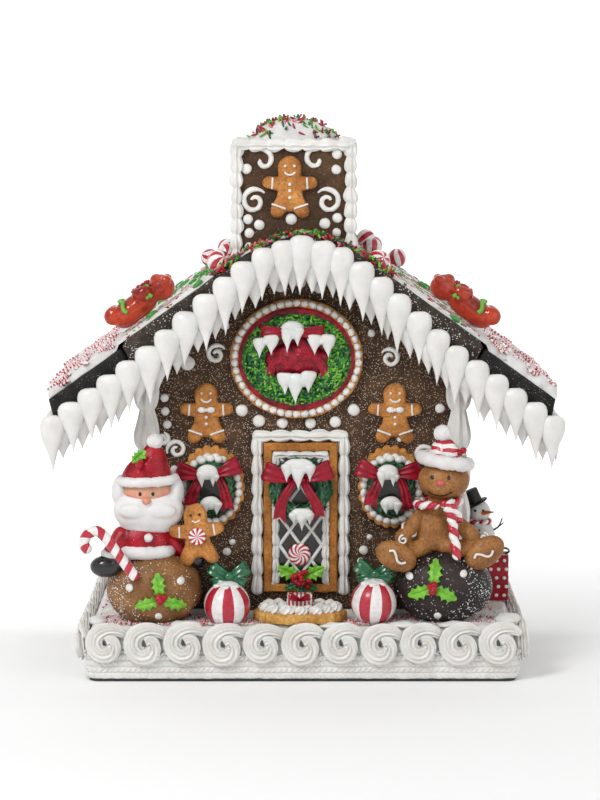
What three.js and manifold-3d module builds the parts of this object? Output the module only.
// A decorated gingerbread house on its iced board.
//
// Millimetres, +Z up. The origin is under the middle of the board, on the surface it stands on. The door
// faces -Y, and +X is to the right of someone who looks at the door.
//
// From the bottom up: a thin dark board, a plinth of white icing with piped swirls, gingerbread walls with
// a round window, two oval windows and a door, a roof of dark biscuit panels under icing, rows of icing
// drips along every edge of the roof, and a square chimney. Two figures sit on round biscuits in front.
import * as THREE from "three";
import { ParametricGeometry } from "three/addons/geometries/ParametricGeometry.js";
import { mergeVertices } from "three/addons/utils/BufferGeometryUtils.js";
import Module from "manifold-3d";

// Driving dimensions
const deg = THREE.MathUtils.degToRad;
const GAP = 0.3; // left between pieces that touch
const board = { width: 336, depth: 262, height: 3, corner: 8 };
const plinth = { width: 340, depth: 262, top: 45, corner: 10 };
const swirl = { pitch: 30, radius: 15.2, tall: 14.5, bulge: 9, above: 30.5 };
const walls = { half: 122, front: -66, back: 104 };
const roof = {
  front: -98,
  back: 126,
  pitch: deg(35.5),
  apex: 365.7, // where the straight slopes would meet
  thick: 24, // square to the slope
  joint: 146, // from the middle to the joint between the panels
  eave: 203, // from the middle to the eave
  step: 3, // how much lower the outer panel lies
  ridge: [[0, 350], [16, 346], [43, 335]], // the rounded ridge, as distance from the middle and height
};
const frosting = { upper: 3.5, lower: 9, front: -94, back: 122 }; // the icing that lies on the roof
const drip = { half: 9.7, depth: 6.2, pitch: 15.2, length: 45, perSide: 13 };
const dripLine = { top: 349, fall: 0.717 }; // where the drips of a gable start, from the middle outwards
const chimney = { left: -51, right: 37, front: -86, back: -8, foot: 300, top: 417 };
const biscuit = 5; // thickness of the biscuits stuck on the walls
const cookieBack = walls.front - GAP;
const floor = plinth.top + GAP; // what stands on the plinth starts here
const leftBall = [[-117.3, -106, 70], [37.5, 30, 31]];
const rightBall = [[111.5, -106, 72], [39, 30, 30]];

// Colours
const GREY = 0x3a3f3d;
const ICING = 0xf1efea;
const GINGERBREAD = 0x4a2f1e;
const COCOA = 0x2b211c;
const COOKIE = 0xb5722f;
const RED = 0xb3122a;
const GREEN = 0x2f7d46;
const LEAF = 0x62b82c;
const JELLY = 0xb82410;

const wasm = await Module();
wasm.setup();

// A repeatable row of numbers from 0 to 1.
function seeded(seed) {
  let state = seed;
  return () => {
    state = (state + 0x6d2b79f5) | 0;
    let mixed = Math.imul(state ^ (state >>> 15), 1 | state);
    mixed = (mixed + Math.imul(mixed ^ (mixed >>> 7), 61 | mixed)) ^ mixed;
    return ((mixed ^ (mixed >>> 14)) >>> 0) / 4294967296;
  };
}

// A closed geometry as a solid that can be joined and cut, with its faces turned outwards.
function solid(geometry) {
  const loose = geometry.index ? geometry.toNonIndexed() : geometry;
  const bare = new THREE.BufferGeometry();
  bare.setAttribute("position", loose.getAttribute("position"));
  const welded = mergeVertices(bare, 1e-3);
  const triVerts = new Uint32Array(welded.index.array);
  const vertProperties = welded.attributes.position.array;
  const make = () => new wasm.Manifold(new wasm.Mesh({ numProp: 3, vertProperties, triVerts }));
  const made = make();
  if (made.volume() >= 0) return made;
  for (let i = 0; i < triVerts.length; i += 3) {
    [triVerts[i + 1], triVerts[i + 2]] = [triVerts[i + 2], triVerts[i + 1]];
  }
  return make();
}

function geometryOf(made) {
  const { vertProperties, triVerts } = made.getMesh();
  const geometry = new THREE.BufferGeometry();
  geometry.setAttribute("position", new THREE.BufferAttribute(vertProperties, 3));
  return geometry.setIndex(new THREE.BufferAttribute(triVerts, 1));
}

// A geometry scaled, turned about X, then Y, then Z, and moved.
function placed(geometry, at, turn = [0, 0, 0], size = [1, 1, 1]) {
  const matrix = new THREE.Matrix4().compose(
    new THREE.Vector3(...at),
    new THREE.Quaternion().setFromEuler(new THREE.Euler(...turn, "ZYX")),
    new THREE.Vector3(...size),
  );
  return geometry.clone().applyMatrix4(matrix);
}

const join = (shapes) => shapes.map(solid).reduce((joined, next) => joined.add(next));
const cut = (made, ...tools) => tools.reduce((left, tool) => left.subtract(tool), made);

const house = new THREE.Group();

// A named piece of the house.
function piece(name, made, color, roughness = 0.75) {
  const material = new THREE.MeshStandardMaterial({ color, roughness, metalness: 0 });
  const mesh = new THREE.Mesh(made.isBufferGeometry ? made : geometryOf(made), material);
  mesh.name = name;
  house.add(mesh);
}

// General shapes

function block(low, high) {
  const size = high.map((value, axis) => value - low[axis]);
  const middle = high.map((value, axis) => (value + low[axis]) / 2);
  return placed(new THREE.BoxGeometry(...size), middle);
}

// Points on an arc, as X and Z, from one angle to another in degrees.
function arc(x, z, radius, from, to, steps) {
  return Array.from({ length: steps + 1 }, (_, i) => {
    const angle = deg(from + ((to - from) * i) / steps);
    return [x + radius * Math.cos(angle), z + radius * Math.sin(angle)];
  });
}

const flipped = (outline) => outline.map(([x, z]) => [-x, z]).reverse();

// An outline given on its right half, from the top round to the bottom, made whole.
const bothHalves = (half) => [...half, ...flipped(half).filter(([x]) => x < -1e-6)];

// An outline in X and Z, pushed along Y between two depths.
function slab(outline, front, back) {
  const shape = new THREE.Shape(outline.map(([x, z]) => new THREE.Vector2(x, z)));
  const flat = new THREE.ExtrudeGeometry(shape, { depth: back - front, bevelEnabled: false });
  return placed(flat, [0, back, 0], [Math.PI / 2, 0, 0]);
}

// A plate with rounded corners that lies between two heights.
function roundedPlate({ width, depth, corner }, low, high) {
  const [x, y] = [width / 2 - corner, depth / 2 - corner];
  const shape = new THREE.Shape();
  shape.absarc(x, -y, corner, -Math.PI / 2, 0);
  shape.absarc(x, y, corner, 0, Math.PI / 2);
  shape.absarc(-x, y, corner, Math.PI / 2, Math.PI);
  shape.absarc(-x, -y, corner, Math.PI, 1.5 * Math.PI);
  const options = { depth: high - low, bevelEnabled: false, curveSegments: 1 };
  const flat = new THREE.ExtrudeGeometry(shape, options);
  return placed(flat, [0, 0, low]);
}

// A shape turned about Z from rings of reach and height, the first and last of reach 0. Every other side
// is pulled in by `ridge`, and each ring is turned by `twist` from the one before, as a star nozzle does.
function turned(rings, sides = 6, ridge = 1, twist = 0) {
  const rows = rings.length - 1;
  const surface = (u, v, target) => {
    const row = Math.round(v * rows);
    const side = Math.round(u * sides) % sides;
    const angle = (2 * Math.PI * side) / sides + twist * row;
    const reach = rings[row][0] * (side % 2 ? ridge : 1);
    target.set(reach * Math.cos(angle), reach * Math.sin(angle), rings[row][1]);
  };
  return new ParametricGeometry(surface, sides, rows);
}

// An ellipsoid with few faces.
function ball(at, radii, sides = 7, rows = 4, turn = [0, 0, 0]) {
  const rings = arc(0, 0, 1, -90, 90, rows);
  rings[0][0] = 0;
  rings[rows][0] = 0;
  return placed(turned(rings, sides), at, turn, radii);
}

// The same ellipsoid with the gap round it, to cut its neighbours with.
const around = (at, radii, ...rest) => solid(ball(at, radii.map((radius) => radius + GAP), ...rest));

// A shape made standing on the ground, laid back against a face that looks along -Y.
const facing = (shape, x, z, depth, spin = 0, size = [1, 1, 1]) =>
  placed(shape, [x, depth, z], [Math.PI / 2, spin, 0], size);

const dotShape = turned([[0, -0.5], [1, -0.5], [0, 0.9]], 5);
const dot = (x, z, radius, depth) => facing(dotShape, x, z, depth, 0, [radius, radius, 3]);

const distance = (from, to) => new THREE.Vector3(...from).distanceTo(new THREE.Vector3(...to));

// A shape made standing at the origin, with its Z turned along the way from one point to another.
function aimed(geometry, from, to) {
  const along = new THREE.Vector3(...to).sub(new THREE.Vector3(...from)).normalize();
  const turn = new THREE.Quaternion().setFromUnitVectors(new THREE.Vector3(0, 0, 1), along);
  return geometry.clone().applyQuaternion(turn).translate(...from);
}

// A limb from point to point, rounded at both ends, with a radius for each end.
function limb(from, to, start, end, sides = 6) {
  const length = distance(from, to);
  const rings = [[0, -start], [start, -0.4 * start], [end, length + 0.2 * end], [0, length + end]];
  return aimed(turned(rings, sides), from, to);
}

// A ring that lies in X and Y, with a lump of icing or leaves at every second column.
function lumpRing(rx, ry, width, height, lumps, swell = 0.6) {
  const columns = 2 * lumps;
  const section = [[0.5, 0], [0, 1], [-0.5, 0]];
  const surface = (u, v, target) => {
    const column = Math.round(u * columns) % columns;
    const angle = (2 * Math.PI * column) / columns;
    const size = column % 2 ? 1 : swell;
    const [out, up] = section[Math.round(v * 3) % 3];
    const reach = (out * width * (1 + size)) / 2;
    target.set((rx + reach) * Math.cos(angle), (ry + reach) * Math.sin(angle), up * height * size);
  };
  return new ParametricGeometry(surface, columns, 3);
}

// A piped border from point to point: half a tube that swells once for each shell, with its round side
// towards `out`.
function border(from, to, shells, radius, out) {
  const start = new THREE.Vector3(...from);
  const along = new THREE.Vector3(...to).sub(start);
  const outward = new THREE.Vector3(...out).normalize();
  const side = new THREE.Vector3().crossVectors(along, outward).normalize();
  const stacks = 2 * shells;
  const surface = (u, v, target) => {
    const row = Math.round(v * stacks);
    const swell = row % stacks === 0 ? 0 : (row % 2 ? 1 : 0.66) * radius;
    const angle = (Math.PI / 3) * (Math.round(u * 4) % 4);
    target.copy(start).addScaledVector(along, v);
    target.addScaledVector(side, Math.cos(angle) * swell).addScaledVector(outward, Math.sin(angle) * swell);
  };
  return new ParametricGeometry(surface, 4, stacks);
}

// A string of icing or a candy rod along a curve through points.
function rod(points, radius, steps, sides = 5) {
  const curve = new THREE.CatmullRomCurve3(points.map((point) => new THREE.Vector3(...point)));
  const corners = arc(0, 0, radius, 0, 360 - 360 / sides, sides - 1);
  const section = new THREE.Shape(corners.map(([x, y]) => new THREE.Vector2(x, y)));
  return new THREE.ExtrudeGeometry(section, { steps, extrudePath: curve });
}

// A curl of icing that winds in by most of a turn on a face that looks along -Y.
function curl(x, z, radius, hand, begin, depth) {
  const points = [0, 1, 2, 3, 4, 5].map((i) => {
    const [angle, reach] = [deg(begin + hand * 62 * i), radius * (1 - 0.13 * i)];
    return [x + reach * Math.cos(angle), depth - 0.4, z + reach * Math.sin(angle)];
  });
  return rod(points, 2.2, 4, 3);
}

// A gingerbread man's outline, 47 tall from the soles up.
const manOutline = bothHalves([
  [0, 47],
  ...arc(0, 38, 9, 50, -50, 2),
  ...arc(17, 26.5, 4.6, 80, -80, 2),
  [9, 19],
  ...arc(9.6, 5.2, 5.2, 0, -150, 2),
  [0, 9.5],
]);

// A gingerbread man on a face that looks along -Y, soles at x and z, with icing buttons.
function gingerbreadMan(x, z, depth, buttons) {
  const studs = buttons.map((up) => dot(0, up, 1.8, -biscuit));
  return [slab(manOutline, -biscuit, 0), ...studs].map((shape) => placed(shape, [x, depth, z]));
}

// A bow of ribbon against a face that looks along -Y: two loops and two tails.
function bow(x, z, depth, width, tails) {
  const half = width / 2;
  const outline = bothHalves([
    [0, 2],
    [half, 6.5],
    [half + 1, -5],
    [0.45 * half, -4],
    [0.9 * half, -tails],
    [0.45 * half, -tails],
    [0, -3],
  ]);
  return placed(slab(outline, -4, 0), [x, depth, z]);
}

// A holly leaf from its stalk at the origin along +X: a thin wavy solid with prickly edges.
function leaf(length, width) {
  const edge = [0, 0.9, 0.55, 1, 0];
  const last = edge.length - 1;
  const surface = (u, v, target) => {
    const row = Math.round(v * last);
    const half = (edge[row] * width) / 2;
    const wave = row % 2 ? 0.8 : 0;
    const [y, z] = [[half, wave], [0, 2.2], [-half, wave], [0, 0.6]][Math.round(u * 4) % 4];
    target.set((length * row) / last, row % last ? y : 0, row % last ? z : 1);
  };
  return new ParametricGeometry(surface, 4, last);
}

// Holly leaves, each from its stalk in a direction in degrees, with a cluster of three berries.
function holly(x, z, depth, length, directions, lean = 0) {
  const leaves = directions.map((spin) =>
    placed(leaf(length, 0.55 * length), [x, depth, z], [Math.PI / 2 + lean, -deg(spin), 0]),
  );
  const berries = [90, 210, 330].map((angle) => {
    const [across, up] = [2.6 * Math.cos(deg(angle)), 2.6 * Math.sin(deg(angle))];
    return ball([x + across, depth - 1.4, z + up], [3.8, 4.2, 3.8], 4, 2);
  });
  return [...leaves, ...berries];
}

const fallShape = turned([[0, -1.1], [1, -0.3], [0, 0.5]], 4);

// A dollop of soft icing on a face that looks along -Y, with drips that hang from it, as offsets across
// and lengths.
function dollop(x, z, depth, width, height, drips) {
  const falls = drips.map(([across, length]) => {
    const top = [x + across, depth - 2.5, z - 0.15 * height];
    return placed(fallShape, top, [0, 0, 0], [0.16 * width, 0.16 * width, length]);
  });
  return [ball([x, depth - 2, z], [width / 2, 5, height / 2], 6, 2), ...falls];
}

// An oval biscuit with a scalloped rim, upright in X and Z.
function scalloped(rx, rz, scallops) {
  return Array.from({ length: 2 * scallops }, (_, i) => {
    const [angle, reach] = [(Math.PI * i) / scallops, i % 2 ? 0.93 : 1];
    return [rx * reach * Math.cos(angle), rz * reach * Math.sin(angle)];
  });
}

// Board and plinth

const swirlShape = turned([[0, -0.1], [1, -0.1], [0.72, 0.75], [0, 1]], 5, 1, 0.5);
const plainSwirl = turned([[0, -0.2], [1, 0.1], [0, 1]], 5);

// Mounds of icing on top of the plinth, as x, y and radius.
const mounds = [[162, -112, 11], [-162, -115, 7], [158, 100, 10], [-158, 95, 9], [20, 118, 10]];

// Swirls of icing along the four sides, with mounds and crumbs on top.
function makePlinth() {
  const { width, depth, top } = plinth;
  const random = seeded(7);
  const shapes = [roundedPlate(plinth, board.height + GAP, top)];
  for (const [run, offset, quarter] of [
    [width, depth / 2, 0],
    [depth, width / 2, 1],
    [width, depth / 2, 2],
    [depth, width / 2, 3],
  ]) {
    const count = Math.floor(run / swirl.pitch);
    const frame = new THREE.Matrix4().makeRotationZ((quarter * Math.PI) / 2);
    for (let i = 0; i < count; i += 1) {
      const along = (i - (count - 1) / 2) * (run / count);
      const size = [swirl.radius, swirl.tall, swirl.bulge];
      const spin = 0.8 * (random() - 0.5);
      const shape = quarter ? plainSwirl : swirlShape;
      shapes.push(facing(shape, along, swirl.above, -offset, spin, size).applyMatrix4(frame));
    }
  }
  for (const [x, y, radius] of mounds) {
    shapes.push(ball([x, y, top + 1], [radius, 1.2 * radius, 0.5 * radius], 6, 3));
  }
  for (let i = 0; i < 6; i += 1) {
    const [x, y] = [(i - 2.5) * 52, 112 + 8 * random()];
    shapes.push(ball([x, y, top + 0.4], [2.6, 2.2, 1.8], 4, 2));
  }
  return join(shapes);
}

piece("board", roundedPlate(board, 0, board.height), GREY);
piece("plinth_icing", makePlinth(), ICING);

// Walls

// Heights of the slopes' top line and underside over a distance from the middle.
const slopeAt = (x) => roof.apex - Math.tan(roof.pitch) * x;
const underside = (x) => slopeAt(x) - roof.thick / Math.cos(roof.pitch);

// Dots on the front wall, as x, z and radius: along the left edge, under the round window, at the right
// edge and beside the door, and in the gable.
const wallDots = [
  ...[[-110.5, 217, 3.4], [-110, 206, 3.4], [-108.5, 195.5, 3.4], [-103, 159, 3.2]],
  ...[[-48.6, 206.8, 5], [-35, 198.4, 5], [-16.2, 197, 4.2], [6.4, 197, 4.2], [26.2, 197.6, 4.6]],
  [41, 207.2, 5],
  ...[[110, 208.5, 3.8], [-61, 92, 3.4], [49.3, 93.3, 3.8], [46.8, 84.3, 3]],
  ...[[-61.8, 275, 3.6], [55, 269, 3.2], [-18, 306.2, 4.6], [-1.7, 310.4, 4.8], [13.6, 305.4, 4.6]],
];

function makeWalls() {
  const { half, front, back } = walls;
  const outline = bothHalves([
    [0, underside(0) - GAP],
    [half, underside(half) - GAP],
    [half, floor],
  ]);
  const shapes = [slab(outline, front, back)];
  shapes.push(...wallDots.map(([x, z, radius]) => dot(x, z, radius, front)));
  shapes.push(curl(-69, 250, 6, 1, 60, front), curl(70, 250, 6, -1, 120, front));
  shapes.push(curl(-97, 174, 7, -1, 190, front), curl(97, 172, 7, 1, -10, front));
  // The sides and the back carry plain biscuit windows and dots.
  const window = placed(slab(arc(0, 0, 1, 0, 315, 7), -4, 1), [0, 0, 0], [0, 0, 0], [24, 1, 30]);
  for (const [at, quarter] of [
    [[half, 20, 140], 1],
    [[-half, 20, 140], 3],
    [[-60, back, 140], 2],
    [[60, back, 140], 2],
    [[0, back, 235], 2],
  ]) {
    shapes.push(placed(window, at, [0, 0, (Math.PI / 2) * quarter]));
  }
  for (const [x, z] of [[-70, 80], [0, 80], [70, 80], [0, 180]]) {
    shapes.push(placed(dotShape, [x, back, z], [-Math.PI / 2, 0, 0], [4.5, 4.5, 3]));
  }
  return join(shapes);
}

piece("walls", makeWalls(), GINGERBREAD);

// Piped columns that hide the corners of the walls.
function makeColumn(x, y) {
  const [shells, reach] = [5, [10.5, 9.5]];
  const top = underside(Math.abs(x) + reach[0]) - GAP;
  const rings = Array.from({ length: 2 * shells + 1 }, (_, i) => {
    const end = i % (2 * shells) === 0;
    return [end ? 0 : i % 2 ? 1 : 0.68, floor + ((top - floor) * i) / (2 * shells)];
  });
  const body = block(
    [-walls.half - GAP, walls.front - GAP, 0],
    [walls.half + GAP, walls.back + GAP, 400],
  );
  return cut(solid(placed(turned(rings, 5), [x, y, 0], [0, 0, 0], [...reach, 1])), solid(body));
}

for (const [side, x] of [["left", -125], ["right", 125]]) {
  piece(`corner_piping_${side}_front`, makeColumn(x, walls.front - 1), ICING);
  piece(`corner_piping_${side}_back`, makeColumn(x, walls.back + 1), ICING);
}

// Roof

// A place on the right-hand slope: over x on the slope's line, and n square out from it.
const offSlope = (x, n) => [x + n * Math.sin(roof.pitch), slopeAt(x) + n * Math.cos(roof.pitch)];

const { thick, joint, eave, step, ridge } = roof;
const upperPanel = [
  [GAP / 2, underside(0)],
  offSlope(joint + 6, -thick),
  offSlope(joint - 1, -thick / 2),
  offSlope(joint - 2, -3),
  offSlope(joint - 6, 0),
  ridge[2],
  ridge[1],
  [GAP / 2, ridge[0][1]],
];
const lowerPanel = [
  offSlope(joint + 8, -thick - step),
  offSlope(eave, -thick - step),
  offSlope(eave + 3, -thick / 2 - step),
  offSlope(eave - 1, -step),
  offSlope(joint, -step),
  offSlope(joint, -thick / 2),
  offSlope(joint + 7, -thick),
];
for (const [side, outline] of [["left", flipped], ["right", (same) => same]]) {
  piece(`roof_${side}_upper`, slab(outline(upperPanel), roof.front, roof.back), COCOA);
  piece(`roof_${side}_lower`, slab(outline(lowerPanel), roof.front, roof.back), COCOA);
}

// Height of the panels' top over a distance from the middle.
function roofTop(x) {
  const next = ridge.findIndex(([reach]) => x < reach);
  if (next < 0) return slopeAt(x) - (x < joint ? 0 : step / Math.cos(roof.pitch));
  const [[x0, z0], [x1, z1]] = [ridge[next - 1], ridge[next]];
  return THREE.MathUtils.mapLinear(x, x0, x1, z0, z1);
}

// A shape laid on one slope: its X runs down the slope, and its Z stands square to it.
function onRoof(shape, side, x, y, n = 0) {
  const [across, up] = offSlope(x, n);
  const facingRight = placed(shape, [across, side * y, up], [0, roof.pitch, 0]);
  return side > 0 ? facingRight : placed(facingRight, [0, 0, 0], [0, 0, Math.PI]);
}

const bear = { x: 119, y: -56, radius: 11, base: 3.6 };
const chimneyRoom = block(
  [chimney.left - 6, chimney.front - 6, 0],
  [chimney.right + 6, chimney.back + 6, 500],
);

// A jelly bear on its back, with its head up the slope.
function jellyBear(side) {
  const { radius, base } = bear;
  const lift = base + GAP + radius;
  const shapes = [
    ball([7, 0, lift], [26, radius + 2, radius], 6, 3),
    ball([-20, 0, lift + 1], [radius, radius, radius], 6, 3),
  ];
  for (const hand of [-1, 1]) {
    shapes.push(ball([-26, 8 * hand, lift + 7], [4.5, 4, 4.5], 4, 2));
    shapes.push(ball([-5, 9 * hand, lift + 7], [7, 5, 7], 5, 2));
    shapes.push(ball([24, 8 * hand, lift + 6], [8, 6, 8], 5, 2));
  }
  return join(shapes.map((shape) => onRoof(shape, side, bear.x, bear.y)));
}

// Icing on one half of the roof: thin on the upper panel, thick and lumpy on the lower one, with broken
// peppermint and sprinkles set in it.
function makeFrosting(side) {
  const random = seeded(side > 0 ? 11 : 23);
  const rows = [GAP / 2, GAP / 2, 16, 43, 90, joint - 6, joint, 170, eave - 3, eave - 3];
  const across = 3;
  const columns = across + 3;
  const last = rows.length - 1;
  const bumps = rows.map(() => Array.from({ length: columns }, random));
  const surface = (u, v, target) => {
    const [row, column] = [Math.round(v * last), Math.round(u * columns) % columns];
    const end = row % last === 0;
    const under = column === 0 || column === columns - 1;
    const spread = end ? 0.5 : THREE.MathUtils.clamp((column - 1) / across, 0, 1);
    const depth = rows[row] >= joint ? frosting.lower : frosting.upper;
    const rise = end || under ? 0 : depth * (0.55 + 0.6 * bumps[row][column]);
    const y = THREE.MathUtils.lerp(frosting.front, frosting.back, spread);
    target.set(side * rows[row], y, roofTop(rows[row]) + GAP + rise / Math.cos(roof.pitch));
  };
  const shapes = [new ParametricGeometry(surface, columns, last)];
  for (let i = 0; i < 6; i += 1) {
    const low = i % 2;
    const [x, y] = [low ? 158 + 34 * random() : 60 + 78 * random(), -74 + 34 * i];
    const chip = low ? new THREE.BoxGeometry(15, 6, 5) : new THREE.BoxGeometry(8, 3.4, 4);
    const height = low ? frosting.lower - step - 1.5 : frosting.upper - 1;
    shapes.push(onRoof(placed(chip, [0, 0, 0], [0, 0, Math.PI * random()]), side, x, y, height));
  }
  const bearRoom = onRoof(block([-38, -17, bear.base], [36, 17, 40]), side, bear.x, bear.y);
  const mintRoom = around([mint.x[side < 0 ? 0 : 1], mint.y, mint.z], mint.radii, 8, 5);
  return cut(join(shapes), solid(chimneyRoom), solid(bearRoom), mintRoom);
}

// Round peppermints near the ridge, beside the chimney.
const mint = { x: [-66, 60], y: -80, z: 327, radii: [9.5, 9.5, 9.5] };
const roofLine = [...ridge, [160, slopeAt(160)]].map(([x, z]) => [x, z + GAP]);
const roofRoom = slab(bothHalves([...roofLine, [160, 100]]), roof.front - 5, roof.back + 5);

for (const [name, side] of [["left", -1], ["right", 1]]) {
  piece(`roof_icing_${name}`, makeFrosting(side), ICING);
  piece(`jelly_bear_${name}`, jellyBear(side), JELLY, 0.2);
  const candy = solid(ball([mint.x[side < 0 ? 0 : 1], mint.y, mint.z], mint.radii, 8, 5));
  piece(`peppermint_ball_${name}`, cut(candy, solid(roofRoom)), RED, 0.3);
}

// Icing drips along the edges of the roof

const fullDrip = turned([[0, -1], [1, -0.45], [0.9, -0.14], [0, 0]], 5);
const plainDrip = turned([[0, -1], [1, -0.35], [0, 0]], 4);

// One drip: a fat rounded top that narrows to a hanging point, with its top at the given place and a ridge
// towards the outside of the roof.
function oneDrip(shape, at, outward, half, length) {
  const facingOut = placed(shape, [0, 0, 0], [0, 0, deg(outward)]);
  const [x, y] = outward % 180 ? [half, drip.depth] : [drip.depth, half];
  return placed(facingOut, at, [0, 0, 0], [x, y, length]);
}

// The drips of a gable on one side of a line just right of the middle one, with a gap at that line.
function gableDrips(side, y, seed) {
  const random = seeded(seed);
  const [shape, outward, half] = y < 0 ? [fullDrip, -90, drip.half] : [plainDrip, 90, drip.half + 0.6];
  const shapes = [];
  for (let i = -drip.perSide; i <= drip.perSide; i += 1) {
    const length = drip.length * (0.92 + 0.16 * random());
    const at = [i * drip.pitch, y, dripLine.top - dripLine.fall * Math.abs(i) * drip.pitch];
    if (side * i >= side) shapes.push(oneDrip(shape, at, outward, half, length));
  }
  const line = (drip.pitch + side * GAP) / 2;
  const [low, high] = side < 0 ? [line, 400] : [-400, line];
  return cut(join(shapes), solid(block([low, -200, 0], [high, 200, 500])));
}

// The drips of one eave, from front to back.
function eaveDrips(side, seed) {
  const random = seeded(seed);
  const [count, hang] = [12, { x: 200, z: 206 }];
  const pitch = (roof.back - roof.front) / count;
  const shapes = Array.from({ length: count }, (_, i) => {
    const length = drip.length * (0.8 + 0.18 * random());
    const at = [side * hang.x, roof.front + (i + 0.5) * pitch, hang.z];
    return oneDrip(plainDrip, at, side < 0 ? 180 : 0, 0.62 * pitch, length);
  });
  const inFront = block([-300, -200, 0], [300, roof.front + GAP, 400]);
  const behind = block([-300, roof.back - GAP, 0], [300, 200, 400]);
  return cut(join(shapes), solid(inFront), solid(behind));
}

for (const [name, side] of [["left", -1], ["right", 1]]) {
  piece(`drips_front_${name}`, gableDrips(side, roof.front - drip.depth - GAP, 3), ICING);
  piece(`drips_back_${name}`, gableDrips(side, roof.back + drip.depth + GAP, 5), ICING);
  piece(`drips_eave_${name}`, eaveDrips(side, 8 + side), ICING);
}

// Chimney

function makeChimney() {
  const { left, right, front, back, foot, top } = chimney;
  const dots = [
    ...[[-43, 399], [26.5, 399], [-42, 362], [-34, 354.5], [-9, 356], [17.5, 357], [27, 363]],
    ...[[-41, 347], [28, 349]],
  ];
  const curls = [
    ...[[-33, 403, 6, 1, 200], [13, 403, 6, -1, -20]],
    ...[[-37, 374, 7, -1, -60], [20, 374, 7, 1, 240]],
  ];
  const shapes = [
    block([left, front, foot], [right, back, top]),
    ...dots.map(([x, z]) => dot(x, z, 3.6, front)),
    ...curls.map((values) => curl(...values, front)),
  ];
  return cut(join(shapes), solid(roofRoom));
}

// A round strip of piped shells from point to point.
function strip(from, to, radius) {
  const shells = 3;
  const length = distance(from, to);
  const rings = Array.from({ length: 2 * shells + 1 }, (_, i) => {
    const end = i % (2 * shells) === 0;
    return [end ? 0 : (i % 2 ? 1 : 0.68) * radius, (length * i) / (2 * shells)];
  });
  return aimed(turned(rings, 4), from, to);
}

function makeChimneyPiping() {
  const { left, right, front, back, foot, top } = chimney;
  const shapes = [];
  for (const x of [left, right]) {
    for (const y of [front, back]) shapes.push(strip([x, y, 325], [x, y, top + 4], 6));
    shapes.push(strip([x, front - 5, top], [x, back + 5, top], 6.5));
  }
  for (const y of [front, back]) shapes.push(strip([left - 5, y, top], [right + 5, y, top], 6.5));
  const body = block([left - GAP, front - GAP, foot], [right + GAP, back + GAP, top + GAP]);
  return cut(join(shapes), solid(body), solid(roofRoom));
}

// A heap of icing with three leaves and red and green crumbs.
function makeChimneyTop() {
  const { left, right, front, back, top } = chimney;
  const heap = turned([[0, 0], [34, 0], [29, 12], [15, 21], [0, 24]], 9, 0.88, 0.3);
  const shapes = [placed(heap, [0, 0, 0], [0, 0, 0], [1, 0.85, 1])];
  for (const [spin, out] of [[200, 8], [320, 8], [80, 10]]) {
    const at = [out * Math.cos(deg(spin)), out * Math.sin(deg(spin)), 17];
    shapes.push(placed(leaf(16, 10), at, [0, 0.35, deg(spin)]));
  }
  for (let i = 0; i < 8; i += 1) {
    const [angle, out] = [2.4 * i, 14 + 1.4 * i];
    const at = [out * Math.cos(angle), 0.85 * out * Math.sin(angle), 19 - 1.2 * i];
    shapes.push(ball(at, [3, 3, 2.4], 5, 2));
  }
  const middle = [(left + right) / 2, (front + back) / 2, top + GAP];
  return join(shapes.map((shape) => placed(shape, middle)));
}

piece("chimney", makeChimney(), GINGERBREAD);
piece("chimney_piping", makeChimneyPiping(), ICING);
piece("chimney_top", makeChimneyTop(), ICING);
piece("chimney_cookie", join(gingerbreadMan(-10, 362, chimney.front - GAP, [24, 18, 12])), COOKIE);
piece("wall_cookie_left", join(gingerbreadMan(-77, 180.5, cookieBack, [22, 15])), COOKIE);
piece("wall_cookie_right", join(gingerbreadMan(74, 180.5, cookieBack, [22, 15])), COOKIE);

// Windows

const roundWindow = { x: -4.7, z: 249, rx: 53, rz: 48, thick: 6 };
const sideWindow = { x: [-73, 71], z: 145.5, rx: 27, rz: 34 };
const beads = { width: 7, height: 3.6 };

function makeRoundWindow() {
  const { x, z, rx, rz, thick: depth } = roundWindow;
  const face = cookieBack - depth;
  const rim = placed(slab(arc(0, 0, 1, 0, 337.5, 15), face, cookieBack), [x, 0, z], [0, 0, 0], [rx, 1, rz]);
  const ring = facing(lumpRing(rx - 4, rz - 4, beads.width, beads.height, 12), x, z, face + 0.2);
  return join([rim, ring]);
}

function makeRoundWreath() {
  const { x, z, thick: depth } = roundWindow;
  const face = cookieBack - depth - GAP;
  return join([
    facing(lumpRing(34, 29, 13, 7, 8, 0.75), x, z, face),
    bow(x - 4, z + 23, face - 3, 44, 18),
    ...dollop(x - 3, z + 20, face - 5, 32, 14, [[-9, 9], [9, 9]]),
    ...dollop(x, z - 24, face - 3, 32, 15, [[-10, 6], [10, 6]]),
  ]);
}

function makeSideWindow(x) {
  const { z, rx, rz } = sideWindow;
  const face = cookieBack - biscuit;
  const rim = placed(slab(scalloped(rx, rz, 9), face, cookieBack), [x, 0, z]);
  return join([rim, facing(lumpRing(rx - 5.5, rz - 7, 6, beads.height, 9), x, z, face + 0.2)]);
}

function makeSideWreath(x) {
  const { z } = sideWindow;
  const face = cookieBack - biscuit - GAP;
  const overBeads = face - beads.height - GAP;
  return join([
    facing(lumpRing(14, 18.5, 7.5, 7, 7, 0.75), x, z, face),
    bow(x - 1, z + 14, overBeads, 50, 34),
    ...dollop(x, z + 13, overBeads - 3, 21, 13, []),
    ...dollop(x, z - 14, overBeads + 1, 20, 11, []),
  ]);
}

piece("round_window", makeRoundWindow(), COOKIE);
piece("round_wreath", makeRoundWreath(), GREEN);
for (const [name, x] of [["left", sideWindow.x[0]], ["right", sideWindow.x[1]]]) {
  piece(`side_window_${name}`, makeSideWindow(x), COOKIE);
  piece(`side_wreath_${name}`, makeSideWreath(x), GREEN);
}

// Door

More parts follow.
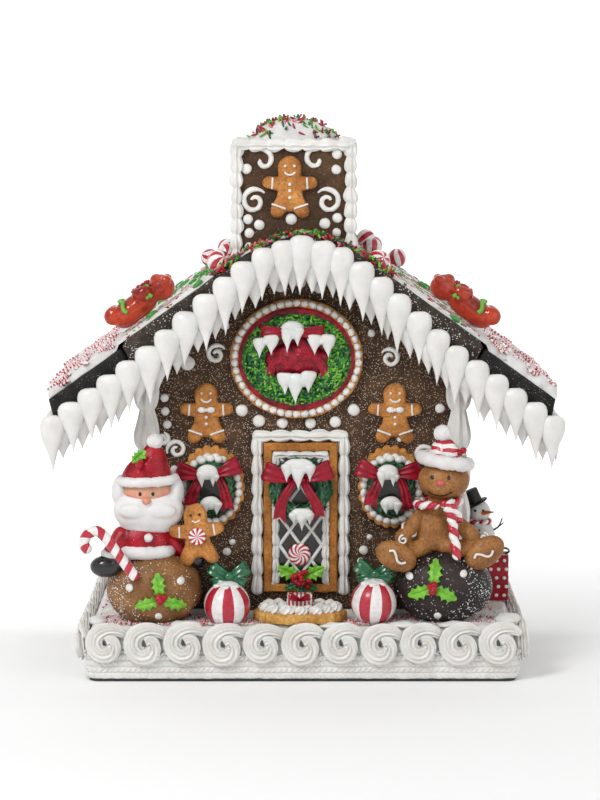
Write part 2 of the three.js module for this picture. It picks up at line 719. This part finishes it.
const door = { left: -31, right: 28, low: 60, high: 181, frame: 6.5 };
const doorMiddle = (door.left + door.right) / 2;

function makeDoor() {
  const { left, right, low, high, frame } = door;
  const opening = block([left + frame, -200, low + frame - 2], [right - frame, 0, high - frame]);
  return cut(solid(block([left, cookieBack - biscuit, low], [right, cookieBack, high])), solid(opening));
}

// The shells piped round the door.
function makeDoorPiping() {
  const { left, right, low, high } = door;
  const [radius, out] = [4.3, [0, -1, 0]];
  const away = radius + GAP;
  const [from, to, top] = [left - away, right + away, high + away];
  return join([
    border([from, cookieBack, low - 3], [from, cookieBack, top], 5, radius, out),
    border([to, cookieBack, low - 3], [to, cookieBack, top], 5, radius, out),
    border([from - away, cookieBack, top], [to + away, cookieBack, top], 4, radius, out),
  ]);
}

// The dark panes with their white lattice and a small border piped inside the frame.
function makeDoorPanes() {
  const left = door.left + door.frame + GAP;
  const right = door.right - door.frame - GAP;
  const [low, high] = [door.low + door.frame - 2 + GAP, door.high - door.frame - GAP];
  const face = cookieBack - 3;
  const shapes = [block([left, face, low], [right, cookieBack, high])];
  const [out, radius] = [[0, -1, 0], 2.6];
  const [inLeft, inRight] = [left + radius, right - radius];
  shapes.push(border([inLeft, face + 0.2, low], [inLeft, face + 0.2, high], 3, radius, out));
  shapes.push(border([inRight, face + 0.2, low], [inRight, face + 0.2, high], 3, radius, out));
  const lattice = { count: 3, pitch: 30, tilt: 0.6, half: 1, lift: 1.4 };
  const tall = (right - left - 5 * radius) / Math.sin(lattice.tilt) / 2;
  for (let i = 0; i < lattice.count; i += 1) {
    const z = low + (0.82 + i) * lattice.pitch;
    for (const hand of [-1, 1]) {
      const bar = block([-lattice.half, -lattice.lift, -tall], [lattice.half, 0.5, tall]);
      shapes.push(placed(bar, [doorMiddle, face, z], [0, hand * lattice.tilt, 0]));
    }
  }
  return join(shapes);
}

function makeDoorWreath() {
  const face = cookieBack - biscuit - 1.2;
  const [x, z] = [doorMiddle, 145];
  return join([
    facing(lumpRing(21, 20, 12, 8, 8, 0.75), x, z, face),
    bow(x - 2, z + 10, face - 5, 46, 34),
    ...dollop(x - 2, z + 14, face - 7, 26, 14, [[0, 8]]),
    ...dollop(x + 1, z - 22, face - 3, 20, 11, []),
  ]);
}

const onPanes = cookieBack - 3 - 1.4 - GAP;
const mintDisc = turned([[0, 0], [1, 0], [1, 0.7], [0.7, 1], [0, 1]], 10);
piece("door", makeDoor(), COOKIE);
piece("door_piping", makeDoorPiping(), ICING);
piece("door_panes", makeDoorPanes(), COCOA);
piece("door_wreath", makeDoorWreath(), GREEN);
piece("door_peppermint", facing(mintDisc, -2.5, 91, onPanes, 0, [8, 8, 4]), RED, 0.3);
piece("door_holly", join(holly(-1, 71, onPanes - 2.2, 19, [152, 28, 270])), LEAF);

// Doorstep: a round biscuit with cream and a small parcel on it.

const stepTop = 53;
const stepAt = [-2, -108];
const stepShape = turned([[0, 0], [0.95, 0], [1, 0.5], [0.94, 1], [0, 1]], 14);
piece("step_cookie", placed(stepShape, [...stepAt, floor], [0, 0, 0], [37, 26, stepTop - floor]), COOKIE);
piece("step_cream", placed(lumpRing(27, 18, 12, 7, 9, 0.7), [...stepAt, stepTop + GAP]), ICING);
piece("step_parcel", block([-12, -113, stepTop + GAP], [8, -103, 66]), RED);

// Round biscuits that the figures sit on

// How far to the front a round biscuit reaches at x and z.
function ballFront([[cx, cy, cz], [rx, ry, rz]], x, z) {
  return cy - ry * Math.sqrt(1 - ((x - cx) / rx) ** 2 - ((z - cz) / rz) ** 2);
}

const below = solid(block([-300, -300, -50], [300, 300, floor]));

// A round biscuit with a sprig of holly and dots of icing on its front.
function makeBallCookie(shape, [x, z], spots) {
  const sprig = holly(x, z, ballFront(shape, x, z) + 0.5, 19, [90, 200, -20]);
  const dots = spots.map(([u, w]) => ball([u, ballFront(shape, u, w) + 1.5, w], [3.6, 3, 3.6], 4, 2));
  return cut(join([ball(...shape, 9, 5), ...sprig, ...dots]), below);
}

const leftSpots = [[-135.6, 73], [-95.5, 78.6], [-113.6, 50]];
const rightSpots = [[83, 83], [126, 86], [106, 50]];
piece("ball_cookie_left", makeBallCookie(leftBall, [-111, 63], leftSpots), COOKIE);
piece("ball_cookie_right", makeBallCookie(rightBall, [103, 73], rightSpots), COCOA);

// The bearded figure on the left

const beard = [[-121.5, -112, 134], [28.5, 14, 19.5]];
const face = [[-124, -107, 147], [20, 16, 15]];
const brim = 152;
const aboveBrim = solid(block([-200, -200, brim], [0, 0, 250]));

function makeCoat() {
  const shapes = [
    ball([-126, -105, 106], [24, 17, 20], 7, 4),
    limb([-142, -110, 112], [-151, -117, 98], 8, 7, 5),
    ball([-154, -120, 90], [12, 8.5, 8.5], 6, 3),
    limb([-110, -105, 112], [-92, -104, 99], 8, 7, 5),
    ball([-84, -105, 94], [9, 8, 8], 6, 3),
  ];
  return cut(join(shapes), around(...leftBall, 9, 5), around(...beard, 7, 4), around(...face, 7, 4));
}

function makeCap() {
  const shape = turned([[0, 0], [1, 0], [1.06, 4], [1, 8], [0.78, 8.5], [0.6, 22], [0, 35]], 7);
  return join([
    placed(shape, [-124, -106, brim + GAP], [0, 0, 0], [24, 19, 1]),
    ball([-117.5, -108, 187], [6.5, 6.5, 6], 6, 3),
    placed(leaf(15, 10), [-135, -114.5, 174], [Math.PI / 2, -0.6, 0]),
  ]);
}

piece("figure_coat", makeCoat(), RED);
piece("figure_head", cut(join([ball(...beard, 7, 4), ball(...face, 7, 4)]), aboveBrim), ICING);
piece("figure_cap", makeCap(), RED);
const caneBends = [[-131, 84], [-143, 101], [-155, 117], [-164, 121.5], [-172, 115], [-173, 105]];
piece("candy_cane", rod(caneBends.map(([x, z]) => [x, -135.8, z]), 4, 8, 5), RED, 0.3);

function makeCookieBoy() {
  const button = facing(mintDisc, -83.5, 91.5 + 24, -121, 0, [5.5, 5.5, 2.5]);
  return cut(join([...gingerbreadMan(-82.7, 91.5, -116, []), button]), around(...leftBall, 9, 5));
}

piece("cookie_boy", makeCookieBoy(), COOKIE);

// The gingerbread figure on the right

const torso = [[103, -103, 119], [17, 13, 22]];
const head = [[110, -106, 156], [21, 17, 17]];
const capLow = 164;

function makeSeated() {
  const shapes = [
    ball(...torso, 7, 4),
    ball(...head, 7, 5),
    limb([105, -104, 132], [108, -105, 144], 8, 8, 5),
    limb([92, -104, 129], [80, -114, 114], 6, 6.5, 5),
    limb([117, -104, 129], [144, -112, 113], 6.5, 6.5, 5),
    limb([96, -112, 107], [78, -123, 101], 8.5, 9.5, 5),
    limb([112, -112, 107], [143, -120, 102], 8.5, 9.5, 5),
  ];
  return cut(join(shapes), around(...rightBall, 9, 5), solid(block([0, -200, capLow], [200, 0, 250])));
}

function makeScarf() {
  const shapes = [
    placed(lumpRing(16, 14, 10, 7, 6, 0.85), [107, -105, 136.5]),
    rod([[115, -119, 141], [118, -125, 122], [121, -133, 98]], 4.6, 3, 4),
  ];
  return cut(join(shapes), around(...torso, 7, 4), around(...head, 7, 5));
}

function makeStripedCap() {
  const shape = turned([[0, 0], [1, 0], [1.08, 5], [0.95, 10], [0.66, 11], [0.5, 20], [0, 28]], 7);
  return join([
    placed(shape, [112, -106, capLow + GAP], [0, 0, 0], [21.5, 17.5, 1]),
    ball([110, -108, 194], [7, 7, 6.5], 6, 3),
    ball([126, -108, 181], [4, 4, 4], 5, 2),
  ]);
}

piece("seated_figure", makeSeated(), COOKIE);
piece("scarf", makeScarf(), RED);
piece("striped_cap", makeStripedCap(), RED);

// Sweets and parcels on the plinth

const baubleShape = turned([[0, -19], [13, -14], [19, 0], [14, 12], [5, 18], [0, 23]], 10, 0.93);
for (const [name, x, z] of [["left", -59.5, 54], ["right", 56, 57]]) {
  piece(`bauble_${name}`, cut(solid(placed(baubleShape, [x, -120, z])), below), RED, 0.3);
}

for (const [name, x] of [["left", -61], ["right", 58]]) {
  const parcel = block([x - 11, -98, floor], [x + 11, -80, 70]);
  const knot = ball([x, -92, 78], [5, 4, 5], 5, 3);
  piece(`parcel_${name}`, join([parcel, bow(x, 78, -88, 32, 13), knot]), GREEN);
}

piece("side_parcel", block([151, -30, floor], [169, -10, 83]), RED);

function makeSnowman() {
  const hat = turned([[0, 0], [10, 0], [10, 2], [6.5, 2.4], [7.5, 14], [0, 14]], 6);
  const shapes = [
    ball([146, 20, 64], [20, 20, 20], 7, 4),
    ball([147, 20, 92], [14, 14, 14], 6, 3),
    ball([147.5, 20, 111], [9.5, 9.5, 9.5], 6, 3),
    placed(hat, [145.5, 20, 115.5], [0, -0.45, 0]),
    limb([154, 20, 114], [160, 20, 116], 2.4, 0.6, 5),
  ];
  return cut(join(shapes), below);
}

piece("snowman", makeSnowman(), ICING);

export default house;
